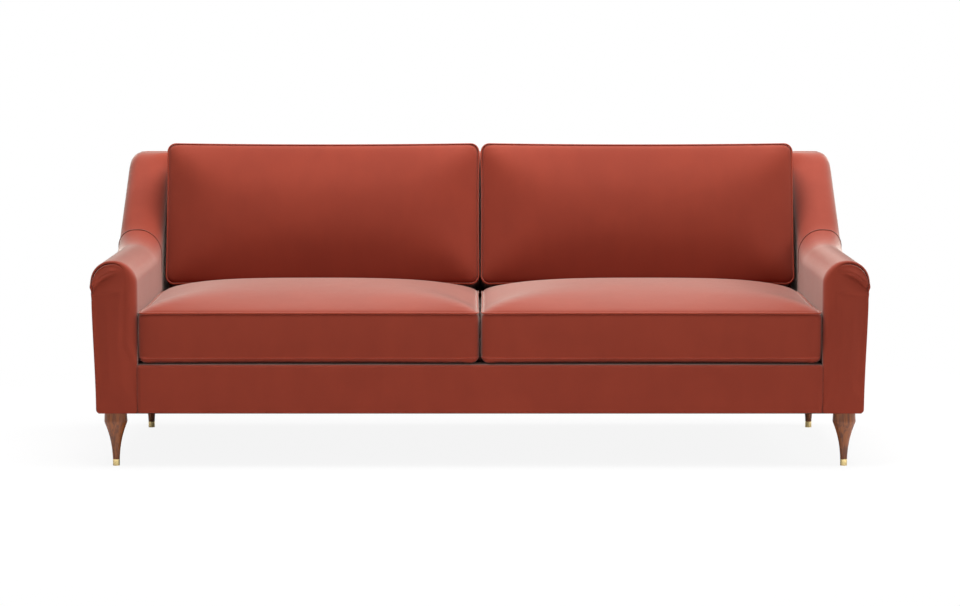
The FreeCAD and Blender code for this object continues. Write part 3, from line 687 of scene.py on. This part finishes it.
def arm_skin(form):
    """Velvet over the arm, from the padded and pleated front panel to the outside back."""
    count = 160
    shape = form.shape
    rings = form.rings(count)
    rim = rings[0]
    # The panel's rings shrink towards an upright line inside the front
    centre = ((form.inner + form.outer) / 2, 0.33)
    scale = (0.25, 0.48)
    goals = shrunk(rim, centre, scale, 1.0, 0.0)
    seamed = [window(i / count, *ROLL_WELT) for i in range(count)]
    edge = []
    for inward, lift in ARM_EDGE:
        ring = []
        for point, goal, share_of in zip(rim, goals, seamed):
            moved = point + (goal - point).normalized() * inward
            moved.y += lift * share_of
            ring.append(moved)
        edge.append(ring)
    steps = 24
    panel = []
    for k in range(steps):
        factor = (1.0 - k / steps) ** 1.2
        crown = shape.panel_crown * smooth_share(factor, 0.0, 1.0)
        panel.append(shrunk(edge[0], centre, scale, factor, -crown))
    rings = panel + edge + rings
    for ring in rings:
        for point in ring:
            near = 1.0 - smooth_share(point.y, form.front + 0.012, form.front + 0.070)
            if near > 0 and point.z > PLEATS_ABOVE:
                lift = near * fold(point.x, point.z, form)
                side = smooth_share(point.x, form.outer - 0.030, form.outer - 0.002)
                point.x += lift * side * 0.35
                point.y -= lift * (1.0 - smooth_share(point.y, form.front, form.front + 0.008))
    return loft(rings)


def arm_seam(form):
    """Seam across the roll, where the arm's top cover meets the wing's."""
    steps = 59
    path = []
    radii = []
    for i in range(steps + 1):
        across = i / steps
        bow = max(0.0, math.sin(math.pi * across))
        line = form.section(WING_SEAM_DEPTH + 0.02 * bow - 0.02 * across, -0.0002, -0.0002, 480)
        path.append(line[round((WING_SEAM_START + WING_SEAM_REACH * across) * 479)])
        radii.append(0.0004 + 0.0016 * bow ** 0.5)
    return tube(bmesh.new(), spaced(path, steps + 1), radii)


class SOFA_OT_arms(bpy.types.Operator):
    """Upholster both arms with their welts, pleats and seams"""

    bl_idname = "sofa.arms"
    bl_label = "Upholster Arms"

    def execute(self, context):
        form = ArmForm(context.scene.sofa_arm)
        skin = arm_skin(form)
        for side, bm in (("right", skin), ("left", mirrored_mesh(skin))):
            piece = add_piece(f"{side}_arm_skin", bm, materials["velvet"])
            subdivided(piece)
            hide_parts(f"{side}_arm_cover", f"{side}_arm_padding")
        seam = arm_seam(form)
        for side, bm in (("right", seam), ("left", mirrored_mesh(seam))):
            # The seam cord is painted dark: painted shade in the crease of the seam.
            add_piece(f"{side}_arm_seam", bm, materials["velvet_seam"])
        return {"FINISHED"}


# Back


class SOFA_OT_inside_back(bpy.types.Operator):
    """Cover the raked inside back and its rolled top"""

    bl_idname = "sofa.inside_back"
    bl_label = "Cover Inside Back"

    def execute(self, context):
        shape = context.scene.sofa_back
        # The cover is tucked a little way into the wings
        half = BACK_HIGH.x + BACK_TUCK
        foot = BACK_LOW.z
        top = BACK_HIGH.z
        lean = math.tan(shape.rake)
        foot_y = BACK_LOW.y
        radius = shape.top_radius
        face_top = foot_y + (top - foot) * lean
        half_turn = (math.pi / 2 + shape.rake) / 2
        tangent = radius * math.tan(math.pi / 2 - half_turn)
        centre = (face_top + tangent, top - radius, radius)
        profile = [Vector((0, foot_y, foot))]
        profile += [Vector((0, y, z)) for y, z in arc(centre, math.pi - shape.rake, math.pi / 2, 12)]
        profile.append(Vector((0, PANEL_LOW.y, top)))
        rows = 69
        profile = spaced(profile, rows + 1)

        def place(u, v):
            point = profile[round(v * rows)]
            return Vector(((u * 2 - 1) * half, point.y, point.z))

        piece = add_piece("inside_back_skin", sheet_of(60, rows, place), materials["velvet"])
        thickened(piece)
        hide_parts("inside_back_cover", "inside_back_padding")
        return {"FINISHED"}


def rounded_frame(low_x, high_x, low_z, high_z, radius, steps=10):
    """Points round an upright rectangle whose two top corners are rounded."""
    points = [(low_x, low_z)]
    points += arc((low_x + radius, high_z - radius, radius), math.pi, math.pi / 2, steps)
    points += arc((high_x - radius, high_z - radius, radius), math.pi / 2, 0.0, steps)
    points.append((high_x, low_z))
    return points


class SOFA_OT_outside_back(bpy.types.Operator):
    """Cover the outside back and run a welt round its edge"""

    bl_idname = "sofa.outside_back"
    bl_label = "Cover Outside Back"

    def execute(self, context):
        shape = context.scene.sofa_back
        arm = context.scene.sofa_arm
        y = PANEL_LOW.y
        points = rounded_frame(PANEL_LOW.x, PANEL_HIGH.x, PANEL_LOW.z, PANEL_HIGH.z, arm.wing_outer_radius)
        points.append(points[0])
        line = spaced([Vector((a, y, b)) for a, b in points], 361)[:360]
        waist = arm.front_height - arm.outer_radius
        for point in line:
            drop = smooth_share(waist - point.z, 0.0, waist - PANEL_LOW.z)
            point.x -= arm.taper * drop * point.x / PANEL_HIGH.x
        outer = [Vector((p.x, PANEL_HIGH.y - shape.panel_swell, p.z)) for p in line]
        centre = (0.0, (PANEL_LOW.z + PANEL_HIGH.z) / 2)
        swell = [shrunk(outer, centre, (0.5, 0.5), factor, shape.panel_swell * (1.0 - (1.0 - factor) ** 3))
                 for factor in (0.02, 0.05, 0.10, 0.20, 0.40, 0.60, 0.80, 1.0)]
        bm = loft([line, outer] + swell)
        piece = add_piece("outside_back_skin", bm, materials["velvet"])
        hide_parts("outside_back_panel")
        welt = bmesh.new()
        radius = context.scene.sofa_cushion.welt
        path = [Vector((p.x * 0.9994, PANEL_HIGH.y - 0.0026, p.z - 0.0012)) for p in line]
        tube(welt, path, radius, closed=True)
        # The welt is painted lighter than the cover: painted highlight on the raised cord.
        add_piece("outside_back_welt", welt, materials["velvet_edge"])
        return {"FINISHED"}


# Seat front and underside


class SOFA_OT_front_border(bpy.types.Operator):
    """Cover the front rail between the arms, with its rolled edges and seams"""

    bl_idname = "sofa.front_border"
    bl_label = "Cover Front Rail"

    def execute(self, context):
        half, rear, high = BORDER_HIGH
        front, low = BORDER_LOW.yz
        top = BORDER_TOP_ROUND
        hem = BORDER_HEM_ROUND
        points = [(front + 0.016, low), (front + hem, low)]
        points += arc((front + hem, low + hem, hem), -math.pi / 2, -math.pi, 6)
        points += arc((front + top, high - top, top), math.pi, math.pi / 2, 8)
        points.append((rear, high))
        rows = 89
        profile = spaced([Vector((0, y, z)) for y, z in points], rows + 1)
        middle = (low + high) / 2

        def place(u, v):
            point = profile[round(v * rows)]
            bow = max(0.0, 1.0 - ((point.z - middle) / (high - middle)) ** 2)
            forward = BORDER_BOW * bow if point.y < front + top else 0.0
            return Vector(((u * 2 - 1) * half, point.y - forward, point.z))

        piece = add_piece("front_border_skin", sheet_of(160, rows, place), materials["velvet"])
        thickened(piece)
        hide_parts("front_border_cover", "front_border_padding")
        seams = bmesh.new()
        for side in (-1, 1):
            path = [Vector((side * (half + 0.0002), front + back, z))
                    for back, z in ((-0.0002, low + 0.004), (-0.0006, middle), (0.0006, high - 0.006))]
            tube(seams, spaced(path, 20), 0.0010)
        # The seam cords are painted dark: painted shade in the creases of the seams.
        add_piece("front_border_seams", seams, materials["velvet_seam"])
        return {"FINISHED"}


class SOFA_OT_dust_cloth(bpy.types.Operator):
    """Stretch the dust cloth under the frame, inside the velvet's hem"""

    bl_idname = "sofa.dust_cloth"
    bl_label = "Fit Dust Cloth"

    def execute(self, context):
        low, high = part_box("dust_cloth")
        inset = context.scene.sofa_arm.taper + 0.004
        plates_low, plates_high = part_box("leg_stud_plates")
        half = HALF_STUD_PLATE

        def place(u, v):
            x = low.x + inset + (high.x - low.x - 2 * inset) * u
            y = low.y + (high.y - low.y) * v
            return Vector((x, y, high.z - 0.0006 - 0.0008 * math.sin(math.pi * u) * math.sin(math.pi * v)))

        centres = [(side * (plates_high.x - half), y) for side in (-1, 1)
                   for y in (plates_low.y + half, plates_high.y - half)]

        def on_plate(face):
            middle = face.calc_center_median()
            return any(abs(middle.x - x) < half and abs(middle.y - y) < half for x, y in centres)

        bm = sheet_of(120, 56, place)
        bmesh.ops.delete(bm, geom=[face for face in bm.faces if on_plate(face)], context="FACES")
        piece = add_piece("dust_cloth_sheet", bm, materials["dust"])
        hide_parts("dust_cloth")
        return {"FINISHED"}


# Cushions


def outline_of(width, depth, corner, drawn_in, steps=8, side_steps=24):
    """Closed path round a cushion: rounded corners, sides drawn in towards their middles."""
    corners = ((width - corner, corner, -math.pi / 2), (width - corner, depth - corner, 0.0),
               (corner, depth - corner, math.pi / 2), (corner, corner, math.pi))
    points = []
    for i, (x, y, start) in enumerate(corners):
        points += [Vector((a, b, 0)) for a, b in arc((x, y, corner), start, start + math.pi / 2, steps)]
        following = corners[(i + 1) % 4]
        ahead = Vector((following[0], following[1], 0)) - Vector((x, y, 0))
        out = Vector((math.cos(start + math.pi / 2), math.sin(start + math.pi / 2), 0))
        begin = Vector((x, y, 0)) + out * corner
        sag = ahead.length * drawn_in / 2
        for k in range(1, side_steps):
            t = k / side_steps
            points.append(begin + ahead * t - out * (sag * 4 * t * (1 - t)))
    return points


def cushion_block(width, depth, settings, boxing, crown, under):
    """Closed cushion form: a boxed band with crowns of shrinking rings above and below it."""

    def ring(distance, level):
        corner = settings.corner + distance * 0.35
        points = outline_of(width - 2 * distance, depth - 2 * distance, corner, settings.drawn_in)
        return [Vector((point.x + distance, point.y + distance, level)) for point in points]

    rings = [ring(distance, -level) for distance, level in reversed(under)]
    rings += [ring(0.0, boxing * step / 4) for step in range(5)]
    rings += [ring(distance, boxing + level) for distance, level in crown]
    return loft(rings)


def swollen(piece, settings, bands):
    """Fills a closed cover under pressure, held near its welts, and caps how far each point moves."""
    remesh = piece.modifiers.new("Remesh", "REMESH")
    remesh.mode = "VOXEL"
    remesh.voxel_size = settings.voxel
    take_modifiers(piece)
    start = [vert.co.copy() for vert in piece.data.vertices]
    group = piece.vertex_groups.new(name="seams")
    for vert in piece.data.vertices:
        hold = max((1.0 - abs(vert.co.z - level) / reach for level, reach in bands), default=0.0)
        if hold > 0:
            group.add([vert.index], min(1.0, hold), "REPLACE")
    cloth = piece.modifiers.new("Cloth", "CLOTH")
    cloth.settings.quality = 4
    cloth.settings.mass = 0.35
    cloth.settings.tension_stiffness = 18
    cloth.settings.compression_stiffness = 12
    cloth.settings.shear_stiffness = 8
    cloth.settings.bending_stiffness = 1.2
    cloth.settings.use_pressure = True
    cloth.settings.uniform_pressure_force = settings.pressure
    cloth.settings.vertex_group_mass = group.name
    cloth.settings.pin_stiffness = 1.0
    cloth.settings.effector_weights.gravity = 0.0
    cloth.collision_settings.use_collision = False
    cloth.point_cache.frame_start = 1
    cloth.point_cache.frame_end = SWELL_FRAMES
    scene = bpy.context.scene
    for number in range(1, SWELL_FRAMES + 1):
        scene.frame_set(number)
    take_modifiers(piece)
    for vert, before in zip(piece.data.vertices, start):
        move = vert.co - before
        if move.length > settings.cap:
            vert.co = before + move.normalized() * settings.cap
    scene.frame_set(1)
    piece.vertex_groups.clear()


def take_modifiers(piece):
    """Replaces a piece's mesh by the result of its modifiers."""
    graph = bpy.context.evaluated_depsgraph_get()
    mesh = bpy.data.meshes.new_from_object(piece.evaluated_get(graph))
    old = piece.data
    piece.modifiers.clear()
    piece.data = mesh
    bpy.data.meshes.remove(old)


def groove_for_zip(co, width, level, face_y, way):
    """Presses the band in along the zip, so that its tape lies open to view."""
    start = ZIP_MARGIN
    end = width - ZIP_MARGIN
    if start < co.x < end:
        near = 1.0 - smooth_share(abs(co.z - level), 0.0135, 0.0200)
        near *= window(co.x, start, start + 0.015, end - 0.015, end)
        if near > 0 and way * (co.y - face_y) < ZIP_GROOVE:
            co.y += (face_y + way * ZIP_GROOVE - co.y) * near


class CushionForm:
    """One box cushion in its own frame: band along z from 0, crown above, zip in one long side."""

    def __init__(self, width, depth, boxing, crown, under, zip_at_far):
        self.width = width
        self.depth = depth
        self.boxing = boxing
        self.crown = crown
        self.under = under
        self.zip_at_far = zip_at_far


def make_cushion(form, settings, shaping, place, names):
    """Cover and welts of the right cushion and its mirror image, on their own bodies."""
    bm = cushion_block(form.width - 2 * BLOCK_INSET, form.depth - 2 * BLOCK_INSET, settings,
                       form.boxing, form.crown, form.under)
    bmesh.ops.translate(bm, vec=(BLOCK_INSET, BLOCK_INSET, 0), verts=bm.verts)
    mesh = bpy.data.meshes.new("cushion")
    bm.to_mesh(mesh)
    bm.free()
    piece = bpy.data.objects.new("cushion", mesh)
    bpy.context.scene.collection.objects.link(piece)
    swollen(piece, settings, ((0.0, 0.016), (form.boxing, 0.016)))
    bm = bmesh.new()
    bm.from_mesh(piece.data)
    old = piece.data
    bpy.data.objects.remove(piece)
    bpy.data.meshes.remove(old)
    for _ in range(2):
        bmesh.ops.smooth_vert(
            bm, verts=bm.verts, factor=0.5, use_axis_x=True, use_axis_y=True, use_axis_z=True)
    face_y, way = (form.depth, -1.0) if form.zip_at_far else (0.0, 1.0)
    for vert in bm.verts:
        groove_for_zip(vert.co, form.width, form.boxing / 2, face_y, way)
        shaping(vert.co)
    bmesh.ops.transform(bm, matrix=place, verts=bm.verts)
    welts = bmesh.new()
    seam = outline_of(form.width - 2 * WELT_INSET, form.depth - 2 * WELT_INSET, settings.corner + 0.002,
                      settings.drawn_in, side_steps=40)
    for level in (0.0, form.boxing):
        path = [Vector((p.x + WELT_INSET, p.y + WELT_INSET, level)) for p in seam]
        for point in path:
            shaping(point)
        tube(welts, [place @ point for point in path], settings.welt, closed=True)
    for kind, right in (("skin", bm), ("welts", welts)):
        for side, mesh in (("left", mirrored_mesh(right)), ("right", right)):
            name = f"{side}_{names}"
            # The welts are painted lighter than the cover: painted highlight on the raised cords.
            material = materials["velvet"] if kind == "skin" else materials["velvet_edge"]
            made = add_piece(f"{name}_{kind}", mesh, material, name)
            if kind == "skin":
                subdivided(made)
                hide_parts(f"{name}_cover")


class SOFA_OT_seat_cushions(bpy.types.Operator):
    """Sew and fill both seat cushions"""

    bl_idname = "sofa.seat_cushions"
    bl_label = "Fill Seat Cushions"

    def execute(self, context):
        settings = context.scene.sofa_cushion
        rake = context.scene.sofa_back.rake
        width = SEAT_HIGH.x - SEAT_LOW.x
        depth = SEAT_HIGH.y - BORDER_LOW.y
        boxing = settings.seat_boxing
        form = CushionForm(width, depth, boxing, SEAT_CROWN, SEAT_UNDERSIDE, True)

        def shaping(co):
            rise = window(co.y, *SEAT_RISE, depth)
            co.z += settings.seat_lift * rise * smooth_share(co.z, boxing * 0.5, boxing)
            # The back cushion presses the rear of the crown into a slope
            soft = 0.02
            slope = boxing + 0.001 + (depth - co.y) * math.tan(rake) - soft
            if co.z > slope:
                co.z = slope + soft * math.tanh((co.z - slope) / soft)
            # The cover stays off the deck, the arm and the cushion beside it
            co.z = max(co.z, 0.0004 - WELT_ABOVE_UNDERSIDE)
            co.x = min(max(co.x, 0.0008), width - 0.0002)
            co.y = min(max(co.y, -0.0060), depth + 0.0010)

        place = Matrix.Translation((SEAT_LOW.x, BORDER_LOW.y, SEAT_LOW.z + WELT_ABOVE_UNDERSIDE))
        make_cushion(form, settings, shaping, place, "seat_cushion")
        return {"FINISHED"}


class SOFA_OT_back_cushions(bpy.types.Operator):
    """Sew and fill both back cushions"""

    bl_idname = "sofa.back_cushions"
    bl_label = "Fill Back Cushions"

    def execute(self, context):
        settings = context.scene.sofa_cushion
        lean = math.pi / 2 - context.scene.sofa_back.rake
        boxing = settings.back_boxing
        turn = Matrix.Rotation(lean, 4, "X")
        origin = (BACK_ZIP_LOW + BACK_ZIP_HIGH) / 2 - turn @ Vector((0, settings.zip_depth, boxing / 2))
        origin.x = BACK_CUSHION_LOW.x
        form = CushionForm(BACK_CUSHION_WIDTH, settings.back_height, boxing,
                           BACK_CUSHION_CROWN, BACK_CUSHION_REAR, False)

        def shaping(co):
            co.z = max(co.z, 0.0003 - WELT_ABOVE_UNDERSIDE)
            co.x = min(max(co.x, 0.0008), BACK_CUSHION_WIDTH + 0.0070)
            co.y = max(co.y, 0.0002)

        make_cushion(form, settings, shaping, Matrix.Translation(origin) @ turn, "back_cushion")
        return {"FINISHED"}


# Finishes of the carried-over frame


FINISH_OF_SLOT = {
    "rust_velvet": "velvet", "deck_cloth": "deck", "leg_wood": "walnut", "brass": "brass",
    "zinc_steel": "steel", "dust_cloth": "dust", "foam": "foam", "webbing": "webbing",
    "zip_tape": "tape", "zip_metal": "zip", "plywood": "plywood", "frame_timber": "timber",
}


class SOFA_OT_frame_finishes(bpy.types.Operator):
    """Give the legs, cups, timber, webbing, foam and zips their finishes"""

    bl_idname = "sofa.frame_finishes"
    bl_label = "Finish Frame"

    def execute(self, context):
        for record in frame["record"]["subparts"]:
            for slot in frame["nodes"][record["node"]].material_slots:
                slot.material = materials[FINISH_OF_SLOT[record["material_slot"]]]
        return {"FINISHED"}


# Stage


class SOFA_OT_stage(bpy.types.Operator):
    """Set the pale floor, the soft studio light and the camera"""

    bl_idname = "sofa.stage"
    bl_label = "Set Stage"

    def execute(self, context):
        look = context.scene.sofa_studio
        scene = context.scene
        bm = bmesh.new()
        bmesh.ops.create_grid(bm, x_segments=1, y_segments=1, size=20.0)
        mesh = bpy.data.meshes.new("floor")
        bm.to_mesh(mesh)
        bm.free()
        floor = bpy.data.objects.new("floor", mesh)
        scene.collection.objects.link(floor)
        mesh.materials.append(floor_material())
        world = bpy.data.worlds.new("studio")
        scene.world = world
        world.use_nodes = True
        world.node_tree.nodes.clear()
        sky = Nodes(world.node_tree)
        seen, clear, shine = (sky.node("ShaderNodeLightPath", output=f"Is {kind} Ray")
                              for kind in ("Camera", "Transmission", "Glossy"))
        white = (1.0, 1.0, 1.0, 1.0)
        light = sky.node("ShaderNodeBackground", values={"Color": white, "Strength": look.ambient})
        backdrop = sky.node("ShaderNodeBackground", values={"Color": white})
        shown = seen.at_least(clear).at_least(shine * 0.25)
        mix = sky.node("ShaderNodeMixShader", values={0: shown, 1: light, 2: backdrop})
        sky.node("ShaderNodeOutputWorld", values={"Surface": mix})
        lamp("overhead", (0.1, -0.1, 3.3), (0.0, 0.0, 0.3), (4.0, 2.4), look.key)
        lamp("from_right", (4.2, -1.2, 2.3), (0.0, 0.0, 0.5), (2.2, 1.8), look.side)
        eye = bpy.data.cameras.new("camera")
        eye.lens = look.focal_length
        eye.sensor_width = 36.0
        camera = bpy.data.objects.new("camera", eye)
        camera.location = (0.0, -look.camera_distance, look.camera_height)
        camera.rotation_euler = (math.pi / 2 - look.camera_pitch, 0.0, 0.0)
        scene.collection.objects.link(camera)
        scene.camera = camera
        scene.view_settings.view_transform = "Standard"
        return {"FINISHED"}


def lamp(name, place, target, size, power):
    """Rectangular soft box that faces a target."""
    light = bpy.data.lights.new(name, "AREA")
    light.shape = "RECTANGLE"
    light.size, light.size_y = size
    light.energy = power
    holder = bpy.data.objects.new(name, light)
    holder.location = place
    holder.rotation_euler = (Vector(target) - Vector(place)).to_track_quat("-Z", "Y").to_euler()
    bpy.context.scene.collection.objects.link(holder)


def floor_material():
    """Pale floor that shows white to the camera and keeps the sofa's soft shadow."""
    finish = Finish("floor")
    finish.set({"Base Color": (0.92, 0.92, 0.92, 1.0), "Roughness": 0.9, "Specular IOR Level": 0.1})
    seen = finish.node("ShaderNodeLightPath", output="Is Camera Ray")
    far = finish.node("ShaderNodeVectorMath", {"operation": "LENGTH"}, {0: finish.where}, "Value")
    glow = finish.node("ShaderNodeEmission", values={"Strength": 1.0})
    return finish.mixed_with(seen * (0.90 + 0.10 * finish.ramp(far, 1.4, 2.6)), glow)


materials = {}


class SOFA_OT_materials(bpy.types.Operator):
    """Mix the velvet, wood, metal, cloth and foam finishes"""

    bl_idname = "sofa.materials"
    bl_label = "Mix Finishes"

    def execute(self, context):
        look = context.scene.sofa_velvet
        materials["velvet"] = velvet(look, "rust_velvet")
        # Painted highlight: the welt cords are painted 1.25 times lighter than the cover, for the light that
        # the raised cords catch.
        materials["velvet_edge"] = velvet(look, "rust_velvet_welt_painted_highlight", 1.25)
        # Painted shade: the seams are painted at 0.45 of the cover's colour, for the shade in their creases.
        materials["velvet_seam"] = velvet(look, "rust_velvet_seam", 0.45)
        materials["walnut"] = walnut()
        materials["brass"] = metal("brass", (1.0, 0.78, 0.37), 0.28, 0.4)
        materials["zip"] = metal("zip_brass", (0.42, 0.30, 0.15), 0.35, 0.2)
        materials["steel"] = metal("zinc_steel", (0.58, 0.59, 0.60), 0.35, 0.5)
        materials["timber"] = timber("frame_timber", (0.52, 0.34, 0.17), (0.36, 0.20, 0.09), 0)
        materials["plywood"] = timber("plywood", (0.62, 0.44, 0.24), (0.45, 0.28, 0.13), 1, 40.0)
        materials["deck"] = woven("deck_cloth", (0.135, 0.028, 0.016), (0.070, 0.014, 0.008), 900.0)
        materials["dust"] = woven("dust_cloth", (0.012, 0.012, 0.012), (0.003, 0.003, 0.003), 700.0)
        materials["webbing"] = woven("webbing", (0.10, 0.085, 0.065), (0.030, 0.025, 0.020), 420.0)
        materials["tape"] = woven("zip_tape", (0.125, 0.022, 0.013), (0.060, 0.011, 0.007), 1300.0)
        materials["foam"] = foam((0.78, 0.70, 0.50))
        return {"FINISHED"}


class SOFA_PT_panel(bpy.types.Panel):
    """Steps that dress the sofa"""

    bl_idname = "SOFA_PT_panel"
    bl_label = "Upholstered Sofa"
    bl_space_type = "VIEW_3D"
    bl_region_type = "UI"
    bl_category = "Sofa"

    def draw(self, context):
        for group in GROUPS:
            holder = getattr(context.scene, group)
            column = self.layout.column(align=True)
            for key in holder.__annotations__:
                column.prop(holder, key)
        for step in STEPS:
            self.layout.operator(step.bl_idname)


GROUPS = {
    "sofa_arm": ArmShape,
    "sofa_back": BackShape,
    "sofa_cushion": CushionShape,
    "sofa_velvet": VelvetLook,
    "sofa_studio": StudioLook,
}
STEPS = (
    SOFA_OT_materials,
    SOFA_OT_frame_finishes,
    SOFA_OT_arms,
    SOFA_OT_inside_back,
    SOFA_OT_outside_back,
    SOFA_OT_front_border,
    SOFA_OT_dust_cloth,
    SOFA_OT_seat_cushions,
    SOFA_OT_back_cushions,
    SOFA_OT_stage,
)


def register():
    for group in GROUPS.values():
        bpy.utils.register_class(group)
    for step in STEPS:
        bpy.utils.register_class(step)
    bpy.utils.register_class(SOFA_PT_panel)
    for name, group in GROUPS.items():
        setattr(bpy.types.Scene, name, PointerProperty(type=group))


def unregister():
    for name in GROUPS:
        delattr(bpy.types.Scene, name)
    bpy.utils.unregister_class(SOFA_PT_panel)
    for step in reversed(STEPS):
        bpy.utils.unregister_class(step)
    for group in reversed(list(GROUPS.values())):
        bpy.utils.unregister_class(group)


def main():
    register()
    for step in STEPS:
        family, name = step.bl_idname.split(".")
        getattr(getattr(bpy.ops, family), name)()


if __name__ == "__main__":
    main()
